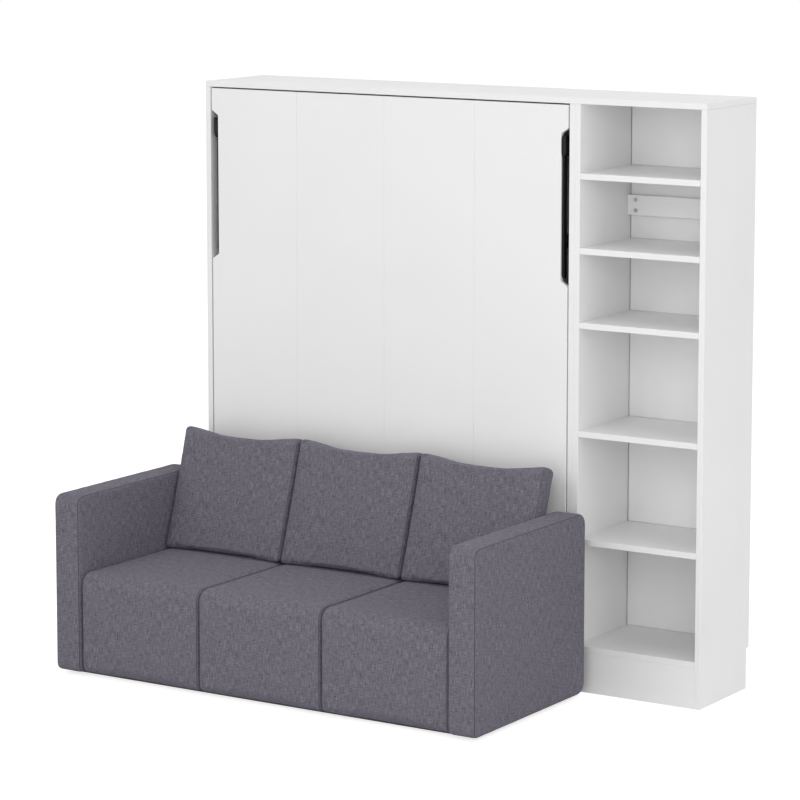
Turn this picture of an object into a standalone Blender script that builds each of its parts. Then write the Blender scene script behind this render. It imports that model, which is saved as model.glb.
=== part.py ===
"""Wall bed with a sofa in front of it and a column of open shelves at its side.

Metres, +Z up, +Y towards the wall, +X to the right of someone who faces the cabinet.
The origin is on the floor, in the middle of the whole object's outline.
"""
import math

import bmesh
import bpy
from mathutils import Matrix, Vector

# Cabinet
cabinet_height = 2.180
cabinet_depth = 0.388
bed_unit_width = 1.635
shelf_unit_width = 0.530
board = 0.022
back_board = 0.005
back_recess = 0.003
skirting_depth = 0.019
skirting_height = 0.153
edge_softening = 0.0008
fit_gap = 0.0003

# Shelf column: the upper spaces have a height of their own, and the lower ones share the rest
upper_space_count = 3
upper_space_height = 0.249
lower_space_count = 3
shelf_bottom_height = 0.1734
wall_rail_height = 0.074
wall_rail_drop = 0.086
screw_inset = 0.034
screw_spacing = 0.039
screw_head_radius = 0.0075
screw_head_height = 0.0022
screw_head_waist_share = 0.7
screw_head_crown_share = 0.85
screw_head_rim_share = 0.3
screw_shank_radius = 0.0022
screw_shank_share = 0.8
screw_length = 0.016
bore_play = 0.0003

# Rails behind the bed
rear_rail_height = 0.100
low_rail_lift = 0.030
lower_panel_thickness = 0.018

# Door
door_gap = 0.0055
plank_count = 4
plank_thickness = 0.020
plank_gap = 0.0004
groove_depth = 0.0014
door_below_pivot = 0.126
swing_gap = 0.006
scoop_depth = 0.029
scoop_run = 0.020
scoop_play = 0.007
scoop_fillet = 0.008

# Bed frame and mattress
side_channel = 0.0685
rail_thickness = 0.022
rail_width = 0.070
frame_below_pivot = 0.304
end_rail_thickness = 0.020
frame_top_gap = 0.0025
mattress_thickness = 0.160
mattress_play = 0.005
mattress_end_play = 0.003
batten_thickness = 0.010
batten_width = 0.060
batten_count = 4
ledge_width = 0.024
slat_count = 14
slat_width = 0.062
slat_thickness = 0.010
tape_width = 0.022
tape_thickness = 0.0015
centre_rail_width = 0.040
strap_thickness = 0.002
strap_width = 0.050
strap_place_shares = (0.28, 0.74)
strap_tuck = 0.060

# Pivot of the bed
pivot_depth = 0.034
pivot_pin_radius = 0.008
pivot_boss_radius = 0.0120
pivot_boss_length = 0.012
bed_plate_thickness = 0.004
cabinet_plate_thickness = 0.004
cabinet_lobe_radius = 0.024
bed_lobe_radius = 0.020
plate_hole_radius = 0.0026
plate_hole_edge = 0.009
cabinet_hole_shares = (0.18, 0.42, 0.66, 0.86)
bed_hole_shares = (0.22, 0.45, 0.98)

# Gas springs, places measured from the pivot
gas_anchor_back = 0.056
gas_anchor_up = 0.346
gas_lever_back = 0.016
gas_lever_down = 0.110
gas_plane_inset = 0.0355
gas_eye_thickness = 0.012
gas_eye_radius = 0.011
gas_stud_radius = 0.005
gas_tube_radius = 0.011
gas_tube_start = 0.008
gas_tube_shoulder = 0.006
gas_tube_end = 0.284
gas_eye_overlap = 0.004
gas_bore_depth = 0.156
gas_rod_radius = 0.005
gas_rod_overlap = 0.020

# Folding legs
leg_drop = 0.153
leg_axis_depth = 0.0153
leg_width = 0.0294
leg_thickness = 0.0086
leg_bar_setback = 0.007
leg_foot_front_radius = 0.018
leg_foot_rear_radius = 0.008
leg_pin_radius = 0.004
leg_cheek_thickness = 0.0096
leg_cheek_below = 0.064
leg_cheek_taper = 0.016
leg_cheek_above = 0.0125
leg_web_thickness = 0.005
leg_flange_thickness = 0.004
leg_flange_reach = 0.048
leg_hole_shares = (0.30, 0.75)

# Sofa
sofa_offset = 0.010
sofa_gap = 0.055
seat_span = 1.610
seat_count = 3
arm_width = 0.114
arm_length = 0.774
arm_top = 0.687
arm_front_radius = 0.038
arm_rear_radius = 0.046
arm_low_radius = 0.026
arm_edge_radius = 0.010
upholstery_lift = 0.015
upholstery_play = 0.0015
seat_setback = 0.007
seat_height = 0.398
seat_crown = 0.006
seat_front_radius = 0.048
seat_low_radius = 0.030
seat_edge_radius = 0.014
seat_edge_draw = 0.003
low_back_clearance = 0.008
low_back_radius = 0.015
skid_width = 0.040
skid_inset = 0.070
skid_end_inset = 0.060
bracket_width = 0.040
bracket_height = 0.044
bracket_thickness = 0.003
bracket_lift = 0.220
bracket_inset = 0.300

# Loose back cushions
cushion_foot_reach = 0.306
cushion_height = 0.481
cushion_thickness = 0.084
cushion_lean = math.radians(17.5)
cushion_top_radius = 0.024
cushion_low_radius = 0.016
cushion_edge_radius = 0.016
cushion_top_dip = 0.016
cushion_side_draw = 0.003
cushion_crown = 0.005
cushion_dip_start_share = 0.6
cushion_face_share = 0.2
stow_clearance = 0.002

# How round pieces and soft forms are divided
round_sides = 24
pin_sides = 12
arc_steps = 4
over_cut = 0.002
soft_angle = math.radians(35)

# Sizes that follow from the ones above
cabinet_width = bed_unit_width + fit_gap + shelf_unit_width
sofa_half_width = seat_span / 2 + arm_width
overall_width = cabinet_width - bed_unit_width / 2 + sofa_offset + sofa_half_width
sofa_reach = sofa_gap + arm_length
overall_depth = sofa_reach + cabinet_depth
cabinet_right = overall_width / 2
cabinet_left = cabinet_right - cabinet_width
front = sofa_reach - overall_depth / 2
rear = front + cabinet_depth
lowered_face_height = seat_height + seat_crown + cushion_thickness + stow_clearance * 2
under_top = cabinet_height - board
bed_x = cabinet_left + bed_unit_width / 2
opening_half = bed_unit_width / 2 - board
shelf_left = cabinet_right - shelf_unit_width
shelf_inner_left = shelf_left + board
shelf_inner_right = cabinet_right - board
back_face = rear - back_recess - back_board
upper_shelves_low = under_top - upper_space_count * (upper_space_height + board)
lower_boards = board * (lower_space_count - 1)
lower_space_height = (upper_shelves_low - shelf_bottom_height - lower_boards) / lower_space_count

pivot_y = front + pivot_depth
pivot_z = lowered_face_height + pivot_depth
door_half = opening_half - door_gap
door_top = under_top - door_gap
door_low = pivot_z - door_below_pivot
plank_back = front + plank_thickness
rail_outer = opening_half - side_channel
rail_inner = rail_outer - rail_thickness
mattress_half = rail_inner - mattress_play
frame_front = plank_back + fit_gap
frame_back = frame_front + rail_width
frame_low = pivot_z - frame_below_pivot
frame_top = door_top - frame_top_gap
mattress_low = frame_low + end_rail_thickness + mattress_end_play
mattress_high = frame_top - end_rail_thickness - mattress_end_play
batten_back = frame_front + batten_thickness
ledge_back = batten_back + fit_gap + ledge_width
slat_back = ledge_back + fit_gap + slat_thickness
mattress_front = slat_back + fit_gap

gas_plane = opening_half - gas_plane_inset
gas_anchor = Vector((pivot_y + gas_anchor_back, pivot_z + gas_anchor_up))
gas_end = Vector((pivot_y + gas_lever_back, pivot_z - gas_lever_down))
gas_length = (gas_end - gas_anchor).length

leg_axis_y = front + leg_axis_depth
leg_axis_z = cabinet_height - leg_drop
leg_reach = lowered_face_height + leg_axis_depth
leg_inner = door_half - scoop_depth + fit_gap
leg_outer = leg_inner + leg_thickness
scoop_low = leg_axis_z - leg_reach - scoop_play
scoop_high = leg_axis_z + leg_width / 2 + scoop_play

sofa_x = bed_x - sofa_offset
sofa_rear = front - sofa_gap
sofa_front = front - sofa_reach
seat_front = sofa_front + seat_setback
seat_width = seat_span / seat_count
low_back_top = lowered_face_height - low_back_clearance
cushion_foot = front - cushion_foot_reach


def clear_scene():
    for item in list(bpy.data.objects):
        bpy.data.objects.remove(item, do_unlink=True)


def finish(name, colour, roughness, metallic=0.0):
    material = bpy.data.materials.new(name)
    material.use_nodes = True
    shader = material.node_tree.nodes["Principled BSDF"]
    shader.inputs["Base Color"].default_value = (*colour, 1.0)
    shader.inputs["Roughness"].default_value = roughness
    shader.inputs["Metallic"].default_value = metallic
    material.diffuse_color = (*colour, 1.0)
    return material


def pivot(name, place, parent=None):
    """An empty on a joint's axis, which the moving pieces hang on."""
    empty = bpy.data.objects.new(name, None)
    bpy.context.scene.collection.objects.link(empty)
    empty.parent = parent
    empty.location = Vector(place) - (world_place(parent) if parent else Vector())
    return empty


def world_place(item):
    place = Vector(item.location)
    while item.parent:
        item = item.parent
        place += item.location
    return place


def add_object(name, shape, material, carrier=None, smooth=True):
    """Turns a bmesh that is in world places into a named object under its carrier."""
    bmesh.ops.recalc_face_normals(shape, faces=shape.faces)
    mesh = bpy.data.meshes.new(name)
    shape.to_mesh(mesh)
    shape.free()
    mesh.materials.append(material)
    if smooth:
        mesh.shade_smooth()
        mesh.set_sharp_from_angle(angle=soft_angle)
    item = bpy.data.objects.new(name, mesh)
    bpy.context.scene.collection.objects.link(item)
    if carrier:
        item.parent = carrier
        item.location = -world_place(carrier)
    return item


def helper_object(name, shape):
    """A solid that only cuts or joins another one."""
    bmesh.ops.recalc_face_normals(shape, faces=shape.faces)
    mesh = bpy.data.meshes.new(name)
    shape.to_mesh(mesh)
    shape.free()
    item = bpy.data.objects.new(name, mesh)
    bpy.context.scene.collection.objects.link(item)
    item.hide_render = True
    item.display_type = "WIRE"
    return item


def combine(item, shape, operation):
    """Adds to an object, or cuts from it, the solids in a bmesh."""
    tool = helper_object(item.name + "_" + operation.lower() + str(len(item.modifiers)), shape)
    change = item.modifiers.new(operation.lower(), "BOOLEAN")
    change.operation = operation
    change.solver = "EXACT"
    change.object = tool


def merged(shapes):
    whole = bmesh.new()
    for shape in shapes:
        mesh = bpy.data.meshes.new("merged")
        shape.to_mesh(mesh)
        shape.free()
        whole.from_mesh(mesh)
        bpy.data.meshes.remove(mesh)
    return whole


def soften(shape, width, segments=1):
    edges = [edge for edge in shape.edges if edge.calc_face_angle(0) > soft_angle]
    bmesh.ops.bevel(
        shape, geom=edges, offset=width, segments=segments, profile=0.5,
        affect="EDGES", clamp_overlap=True, material=-1)


def slab(x_span, y_span, z_span, softening=edge_softening):
    """A board between two places on each axis."""
    shape = bmesh.new()
    bmesh.ops.create_cube(shape, size=1)
    spans = (x_span, y_span, z_span)
    size = Vector([max(span) - min(span) for span in spans])
    centre = Vector([(span[0] + span[1]) / 2 for span in spans])
    bmesh.ops.transform(
        shape, matrix=Matrix.Translation(centre) @ Matrix.Diagonal((*size, 1)), verts=shape.verts)
    if softening:
        soften(shape, softening)
    return shape


def laid(axis, along, first, second):
    """A point from its place along an axis and its two places across it."""
    if axis == "X":
        return Vector((along, first, second))
    if axis == "Y":
        return Vector((first, along, second))
    return Vector((first, second, along))


def prism(outline, axis, span, softening=0.0):
    """An outline across an axis, carried from one place on it to another."""
    shape = bmesh.new()
    face = shape.faces.new([shape.verts.new(laid(axis, span[0], *point)) for point in outline])
    grown = bmesh.ops.extrude_face_region(shape, geom=[face])
    moved = [part for part in grown["geom"] if isinstance(part, bmesh.types.BMVert)]
    bmesh.ops.translate(shape, verts=moved, vec=laid(axis, span[1] - span[0], 0, 0))
    bmesh.ops.recalc_face_normals(shape, faces=shape.faces)
    if softening:
        soften(shape, softening)
    return shape


def rod(axis, span, centre, radius, sides=round_sides):
    """A round bar along an axis."""
    turn = 2 * math.pi / sides
    outline = [
        (centre[0] + radius * math.cos(turn * (step + 0.5)),
         centre[1] + radius * math.sin(turn * (step + 0.5)))
        for step in range(sides)]
    return prism(outline, axis, span)


def turned(profile, sides, matrix):
    """A profile of radius and height turned about the Z axis, then moved to its place."""
    shape = bmesh.new()
    points = [shape.verts.new((radius, 0, height)) for radius, height in profile]
    edges = [shape.edges.new(pair) for pair in zip(points, points[1:])]
    bmesh.ops.spin(
        shape, geom=points + edges, cent=(0, 0, 0), axis=(0, 0, 1),
        angle=2 * math.pi, steps=sides, use_merge=True)
    bmesh.ops.remove_doubles(shape, verts=shape.verts, dist=fit_gap / 10)
    bmesh.ops.transform(shape, matrix=matrix, verts=shape.verts)
    bmesh.ops.recalc_face_normals(shape, faces=shape.faces)
    return shape


def rounded(corners, radii, steps=arc_steps):
    """An outline whose corners are arcs, each with its own radius."""
    points = []
    for place, radius in enumerate(radii):
        corner = Vector(corners[place])
        back = (Vector(corners[place - 1]) - corner).normalized()
        ahead = (Vector(corners[(place + 1) % len(corners)]) - corner).normalized()
        if not radius:
            points.append(corner)
            continue
        half = back.angle(ahead) / 2
        centre = corner + (back + ahead).normalized() * (radius / math.sin(half))
        begin = corner + back * (radius / math.tan(half)) - centre
        finish_at = corner + ahead * (radius / math.tan(half)) - centre
        start_angle = math.atan2(begin.y, begin.x)
        sweep = math.atan2(begin.cross(finish_at), begin.dot(finish_at))
        for step in range(steps + 1):
            angle = start_angle + sweep * step / steps
            points.append(centre + radius * Vector((math.cos(angle), math.sin(angle))))
    return [
        point for place, point in enumerate(points) if (point - points[place - 1]).length > fit_gap]


def divided(outline, longest):
    """The same outline with its long straight runs cut into equal steps."""
    points = []
    for place, point in enumerate(outline):
        after = outline[(place + 1) % len(outline)]
        count = max(1, round((after - point).length / longest))
        points += [point.lerp(after, step / count) for step in range(count)]
    return points


def outward(outline):
    """The outward direction at each point of an outline that runs anticlockwise."""
    directions = []
    for place, point in enumerate(outline):
        along = (outline[(place + 1) % len(outline)] - outline[place - 1]).normalized()
        directions.append(Vector((along.y, -along.x)))
    return directions


def padded_form(outline, centre_x, half_width, edge_radius, swell, stations):
    """An upholstered form: one outline carried across X, drawn in at both ends.

    swell gives how far a point of the outline moves out, from the point and from its
    place across the form, which runs from -1 to 1.
    """
    directions = outward(outline)
    sections = [
        (half_width - edge_radius * (1 - math.cos(math.pi / 2 * step / arc_steps)),
         edge_radius * (1 - math.sin(math.pi / 2 * step / arc_steps)))
        for step in range(arc_steps + 1)]
    inner = half_width - edge_radius
    sections += [(inner - 2 * inner * step / stations, 0.0) for step in range(1, stations)]
    sections += [(-place, draw) for place, draw in reversed(sections[:arc_steps + 1])]
    shape = bmesh.new()
    loops = []
    for place, draw in sections:
        share = place / half_width
        loop = []
        for point, direction in zip(outline, directions):
            moved = point + direction * (swell(point, share) - draw)
            loop.append(shape.verts.new((centre_x + place, *moved)))
        loops.append(loop)
    for first, second in zip(loops, loops[1:]):
        for side in range(len(outline)):
            after = (side + 1) % len(outline)
            shape.faces.new((first[side], first[after], second[after], second[side]))
    shape.faces.new(loops[0])
    shape.faces.new(reversed(loops[-1]))
    return shape


def across(side, *distances):
    """Places on X at these distances from the bed's middle, to its right (1) or left (-1)."""
    return tuple(bed_x + side * distance for distance in distances)


# Cabinet
def side_outline():
    low_rear = rear - skirting_depth
    return [
        (front, 0), (low_rear, 0), (low_rear, skirting_height), (rear, skirting_height),
        (rear, under_top - fit_gap), (front, under_top - fit_gap)]


def make_side_panels(material):
    places = {
        "bed_side_left": cabinet_left,
        "bed_side_right": cabinet_left + bed_unit_width - board,
        "shelf_side_left": shelf_left,
        "shelf_side_right": shelf_inner_right}
    for name, left in places.items():
        shape = prism(side_outline(), "X", (left, left + board), edge_softening)
        add_object(name, shape, material)


def shelf_tops():
    """Heights of the loose boards' upper faces, from the highest down."""
    tops = [
        under_top - upper_space_height - (upper_space_height + board) * step
        for step in range(upper_space_count)]
    low = tops[-1] - board
    for step in range(1, lower_space_count):
        tops.append(low - lower_space_height * step - board * (step - 1))
    return tops


def make_shelves(white, back_white):
    inner = (shelf_inner_left + fit_gap, shelf_inner_right - fit_gap)
    depth = (front, back_face - fit_gap)
    for number, top in enumerate(shelf_tops(), start=1):
        add_object(f"shelf_board_{number}", slab(inner, depth, (top - board, top)), white)
    bottom_low = shelf_bottom_height - board
    add_object("shelf_bottom", slab(inner, depth, (bottom_low, shelf_bottom_height)), white)
    add_object("shelf_plinth", slab(inner, (front, front + board), (0, bottom_low - fit_gap)), white)
    back_span = (back_face, back_face + back_board)
    back_heights = (skirting_height + fit_gap, under_top - fit_gap)
    add_object("shelf_back", slab(inner, back_span, back_heights), back_white)


def make_wall_rail(white, steel):
    """The rail that the shelf column is screwed to the wall through."""
    face = back_face - fit_gap - board
    span = (shelf_inner_left + fit_gap, shelf_inner_right - fit_gap)
    rail_top = shelf_tops()[0] - board - wall_rail_drop
    heights = (rail_top - wall_rail_height, rail_top)
    rail = add_object("shelf_wall_rail", slab(span, (face, face + board), heights), white)
    middle = rail_top - wall_rail_height / 2
    place_x = shelf_inner_left + screw_inset
    bore_span = (face - over_cut, face + screw_length + fit_gap)
    bores = []
    for name, rise in (("lower", -screw_spacing / 2), ("upper", screw_spacing / 2)):
        centre = (place_x, middle + rise)
        bores.append(rod("Y", bore_span, centre, screw_shank_radius + bore_play, pin_sides))
        add_object(f"wall_rail_screw_{name}", screw(Vector((place_x, face - fit_gap, middle + rise))), steel)
    combine(rail, merged(bores), "DIFFERENCE")


def screw(seat):
    """A round-headed screw whose head sits on a face that looks to the front."""
    profile = [
        (0, screw_head_height),
        (screw_head_radius * screw_head_waist_share, screw_head_height * screw_head_crown_share),
        (screw_head_radius, screw_head_height * screw_head_rim_share), (screw_head_radius, 0),
        (screw_shank_radius, 0), (screw_shank_radius, -screw_length * screw_shank_share), (0, -screw_length)]
    return turned(profile, pin_sides, Matrix.Translation(seat) @ Matrix.Rotation(math.pi / 2, 4, "X"))


def make_bed_cabinet(white, back_white):
    add_object(
        "top_panel", slab((cabinet_left, cabinet_right), (front, rear), (under_top, cabinet_height)), white)
    inner = (bed_x - opening_half + fit_gap, bed_x + opening_half - fit_gap)
    panel_depth = (front, front + lower_panel_thickness)
    add_object("lower_front_panel", slab(inner, panel_depth, (0, door_low - swing_gap)), white)
    rail_back = back_face - fit_gap
    add_object(
        "bed_top_rail",
        slab(
            inner, (rail_back - board, rail_back),
            (under_top - fit_gap - rear_rail_height, under_top - fit_gap)),
        white)
    low_back = rear - skirting_depth - back_recess
    add_object(
        "bed_low_rail",
        slab(inner, (low_back - board, low_back), (low_rail_lift, low_rail_lift + rear_rail_height)), white)
    heights = (skirting_height + fit_gap, under_top - fit_gap)
    depth = (back_face, back_face + back_board)
    middle = fit_gap / 2
    add_object("bed_back_left", slab((inner[0], bed_x - middle), depth, heights), back_white)
    add_object("bed_back_right", slab((bed_x + middle, inner[1]), depth, heights), back_white)


def lobed_plate(first, second, radius):
    """The outline of a plate with a round end about each of two centres."""
    along = (Vector(second) - Vector(first)).normalized()
    start = math.atan2(along.y, along.x)
    steps = round_sides // 2
    points = []
    for centre, begin in ((second, start - math.pi / 2), (first, start + math.pi / 2)):
        for step in range(steps + 1):
            angle = begin + math.pi * step / steps
            points.append(Vector(centre) + radius * Vector((math.cos(angle), math.sin(angle))))
    return points


def plate_holes(span, first, second, shares, edge):
    """Screw holes in pairs across a lobed plate, at shares of the way along it."""
    first, second = Vector(first), Vector(second)
    along = (second - first).normalized()
    across_plate = Vector((along.y, -along.x))
    holes = []
    for number, share in enumerate(shares):
        centre = first.lerp(second, share) + across_plate * (edge if number % 2 else -edge)
        holes.append(rod("X", span, centre, plate_hole_radius, pin_sides))
    return merged(holes)


def make_pivots(steel, zinc, bed):
    """On each side, a plate on the cabinet with the pivot pin and the gas spring's stud,
    and a plate on the bed with the pin's bush and the stud of the spring's other end."""
    centre = (pivot_y, pivot_z)
    bed_face = rail_outer + fit_gap
    bed_plate_end = bed_face + bed_plate_thickness
    bush_end = bed_plate_end + pivot_boss_length
    bed_stud_end = gas_plane - gas_eye_thickness / 2 - fit_gap
    wall_face = opening_half - fit_gap
    wall_plate_start = wall_face - cabinet_plate_thickness
    collar_start = wall_plate_start - pivot_boss_length
    wall_stud_start = gas_plane - gas_eye_thickness / 2
    bed_top = Vector((frame_front + bed_lobe_radius, pivot_z + bed_lobe_radius))
    bed_outline = lobed_plate(gas_end, bed_top, bed_lobe_radius)
    bed_edge = bed_lobe_radius - plate_hole_edge
    wall_edge = cabinet_lobe_radius - plate_hole_edge
    wall_outline = lobed_plate(centre, gas_anchor, cabinet_lobe_radius)
    for side, name in ((1, "right"), (-1, "left")):
        plate = prism(bed_outline, "X", across(side, bed_face, bed_plate_end), edge_softening)
        bed_plate = add_object(f"bed_pivot_plate_{name}", plate, steel, bed)
        bush = rod("X", across(side, bed_plate_end - over_cut, bush_end), centre, pivot_boss_radius)
        combine(bed_plate, bush, "UNION")
        stud_span = across(side, bed_plate_end - over_cut, bed_stud_end)
        stud = rod("X", stud_span, gas_end, gas_stud_radius, pin_sides)
        combine(bed_plate, stud, "UNION")
        bore_span = across(side, bed_face - over_cut, bush_end + over_cut)
        combine(bed_plate, rod("X", bore_span, centre, pivot_pin_radius + bore_play), "DIFFERENCE")
        hole_span = across(side, bed_face - over_cut, bed_plate_end + over_cut)
        combine(bed_plate, plate_holes(hole_span, gas_end, bed_top, bed_hole_shares, bed_edge), "DIFFERENCE")

        plate = prism(wall_outline, "X", across(side, wall_plate_start, wall_face), edge_softening)
        wall_plate = add_object(f"cabinet_pivot_plate_{name}", plate, zinc)
        collar = rod("X", across(side, collar_start, wall_plate_start + over_cut), centre, pivot_boss_radius)
        combine(wall_plate, collar, "UNION")
        pin = rod("X", across(side, bed_face + fit_gap, collar_start + over_cut), centre, pivot_pin_radius)
        combine(wall_plate, pin, "UNION")
        stud_span = across(side, wall_stud_start - over_cut, wall_plate_start + over_cut)
        combine(wall_plate, rod("X", stud_span, gas_anchor, gas_stud_radius, pin_sides), "UNION")
        hole_span = across(side, wall_plate_start - over_cut, wall_face + over_cut)
        holes = plate_holes(hole_span, centre, gas_anchor, cabinet_hole_shares, wall_edge)
        combine(wall_plate, holes, "DIFFERENCE")


def make_gas_springs(black, chrome):
    """A cylinder hung on the cabinet's side and a rod that ends beside the bed's stud."""
    eye_start = gas_plane - gas_eye_thickness / 2
    eye_end = gas_plane + gas_eye_thickness / 2
    along = (gas_end - gas_anchor).normalized()
    tilt = math.atan2(-along.x, along.y)
    tube_profile = [
        (0, gas_tube_start), (gas_rod_radius, gas_tube_start),
        (gas_tube_radius, gas_tube_start + gas_tube_shoulder),
        (gas_tube_radius, gas_tube_end), (gas_rod_radius + bore_play, gas_tube_end),
        (gas_rod_radius + bore_play, gas_tube_end - gas_bore_depth), (0, gas_tube_end - gas_bore_depth)]
    rod_end = gas_length - gas_eye_radius + gas_eye_overlap
    rod_profile = [
        (0, gas_tube_end - gas_rod_overlap), (gas_rod_radius, gas_tube_end - gas_rod_overlap),
        (gas_rod_radius, rod_end), (0, rod_end)]
    for side, name in ((1, "right"), (-1, "left")):
        plane = bed_x + side * gas_plane
        eye_span = across(side, eye_start, eye_end)
        cut_span = across(side, eye_start - over_cut * 2, eye_end + over_cut * 2)
        lay = (Matrix.Translation((plane, *gas_anchor)) @ Matrix.Rotation(tilt, 4, "X"))
        hinge = pivot(f"gas_hinge_{name}", (plane, *gas_anchor))
        tube = add_object(f"gas_cylinder_{name}", turned(tube_profile, round_sides, lay), black, hinge)
        combine(tube, rod("X", eye_span, gas_anchor, gas_eye_radius), "UNION")
        combine(tube, rod("X", cut_span, gas_anchor, gas_stud_radius + bore_play, pin_sides), "DIFFERENCE")
        piston = add_object(f"gas_rod_{name}", turned(rod_profile, pin_sides, lay), chrome, hinge)
        combine(piston, rod("X", eye_span, gas_end, gas_eye_radius), "UNION")


# Door and bed frame
def scoop_outline(width):
    """An outer plank seen from the front, its inner edge at 0 and its scooped edge at width."""
    floor = width - scoop_depth
    corners = [
        (0, door_low), (width, door_low), (width, scoop_low - scoop_run), (floor, scoop_low),
        (floor, scoop_high), (width, scoop_high + scoop_run), (width, door_top), (0, door_top)]
    radii = [0, 0, scoop_fillet, scoop_fillet, scoop_fillet, scoop_fillet, 0, 0]
    return rounded(corners, radii)


def make_door(white, bed):
    pitch = 2 * door_half / plank_count
    width = pitch - plank_gap / 2
    for number in range(plank_count):
        left = bed_x - door_half + pitch * number
        if number == 0:
            outline = [(left + width - x, z) for x, z in reversed(scoop_outline(width))]
        elif number == plank_count - 1:
            outline = [(left + pitch - width + x, z) for x, z in scoop_outline(width)]
        else:
            low_x, high_x = left + plank_gap / 2, left + pitch - plank_gap / 2
            outline = [(low_x, door_low), (high_x, door_low), (high_x, door_top), (low_x, door_top)]
        shape = prism(outline, "Y", (front, plank_back), groove_depth)
        add_object(f"door_plank_{number + 1}", shape, white, bed)


def make_bed_frame(frame_wood, slat_wood, steel, bed):
    depth = (frame_front, frame_back)
    for side, name in ((1, "right"), (-1, "left")):
        span = (bed_x + side * rail_inner, bed_x + side * rail_outer)
        add_object(f"bed_rail_{name}", slab(span, depth, (frame_low, frame_top)), frame_wood, bed)
    inner_half = rail_inner - fit_gap
    inner = (bed_x - inner_half, bed_x + inner_half)
    head = (frame_low, frame_low + end_rail_thickness)
    foot = (frame_top - end_rail_thickness, frame_top)
    add_object("bed_head_rail", slab(inner, depth, head), frame_wood, bed)
    add_object("bed_foot_rail", slab(inner, depth, foot), frame_wood, bed)

    run = (head[1] + fit_gap, foot[0] - fit_gap)
    batten_run = (door_low + batten_width, foot[0] - batten_width * 2)
    ledge = (batten_back - over_cut, ledge_back)
    half = centre_rail_width / 2
    ledge_spans = [(bed_x - half, bed_x + half)]
    ledge_spans += [across(side, inner_half - ledge_width, inner_half) for side in (1, -1)]
    slat_frame = add_object("slat_frame", slab(ledge_spans[0], ledge, run), steel, bed)
    combine(slat_frame, merged([slab(span, ledge, run) for span in ledge_spans[1:]]), "UNION")
    battens = []
    batten_half = inner_half - over_cut
    batten_span = (bed_x - batten_half, bed_x + batten_half)
    for number in range(batten_count):
        low = batten_run[0] + (batten_run[1] - batten_run[0]) * number / (batten_count - 1)
        battens.append(slab(batten_span, (frame_front, batten_back), (low, low + batten_width)))
    combine(slat_frame, merged(battens), "UNION")

    pitch = (run[1] - run[0]) / slat_count
    slat_front = ledge_back + fit_gap
    rows = []
    for number in range(slat_count):
        middle = run[0] + pitch * (number + 0.5)
        height = (middle - slat_width / 2, middle + slat_width / 2)
        rows.append(slab(inner, (slat_front, slat_back), height, edge_softening * 2))
    tapes = []
    tape = (slat_front - tape_thickness, slat_front + over_cut)
    for side in (1, -1):
        place = bed_x + side * (inner_half - ledge_width) / 2
        tapes.append(slab(
            (place - tape_width / 2, place + tape_width / 2), tape,
            (run[0] + pitch / 4, run[1] - pitch / 4), 0))
    slats = add_object("slats", merged(rows), slat_wood, bed)
    combine(slats, merged(tapes), "UNION")


def make_mattress(ticking, webbing, bed):
    back = mattress_front + mattress_thickness
    corner = mattress_thickness / 5
    draw = mattress_play
    corners = [
        (mattress_front, mattress_low), (back, mattress_low),
        (back, mattress_high), (mattress_front, mattress_high)]
    outline = divided(rounded(corners, [corner / 2, corner, corner, corner / 2], 3), mattress_half / 3)

    def swell(point, share):
        if point.x > mattress_front + corner:
            along = (point.y - mattress_low) / (mattress_high - mattress_low)
            return -draw * (1 - (1 - share ** 4) * min(1, 6 * along * (1 - along)))
        return 0.0

    shape = padded_form(outline, bed_x, mattress_half, corner / 2, swell, 6)
    add_object("mattress", shape, ticking, bed)
    gap = mattress_play / 2
    outer = mattress_half + gap + strap_thickness / 2
    inner = mattress_half + gap - strap_thickness / 2
    strap_back = back + fit_gap + strap_thickness
    low_y = mattress_front + strap_tuck
    for share, name in zip(strap_place_shares, ("lower", "upper")):
        middle = mattress_low + (mattress_high - mattress_low) * share
        corners = [
            (bed_x - outer, low_y), (bed_x - inner, low_y), (bed_x - inner, strap_back - strap_thickness),
            (bed_x + inner, strap_back - strap_thickness), (bed_x + inner, low_y), (bed_x + outer, low_y),
            (bed_x + outer, strap_back), (bed_x - outer, strap_back)]
        height = (middle - strap_width / 2, middle + strap_width / 2)
        add_object(f"mattress_strap_{name}", prism(corners, "Z", height), webbing, bed)


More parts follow.
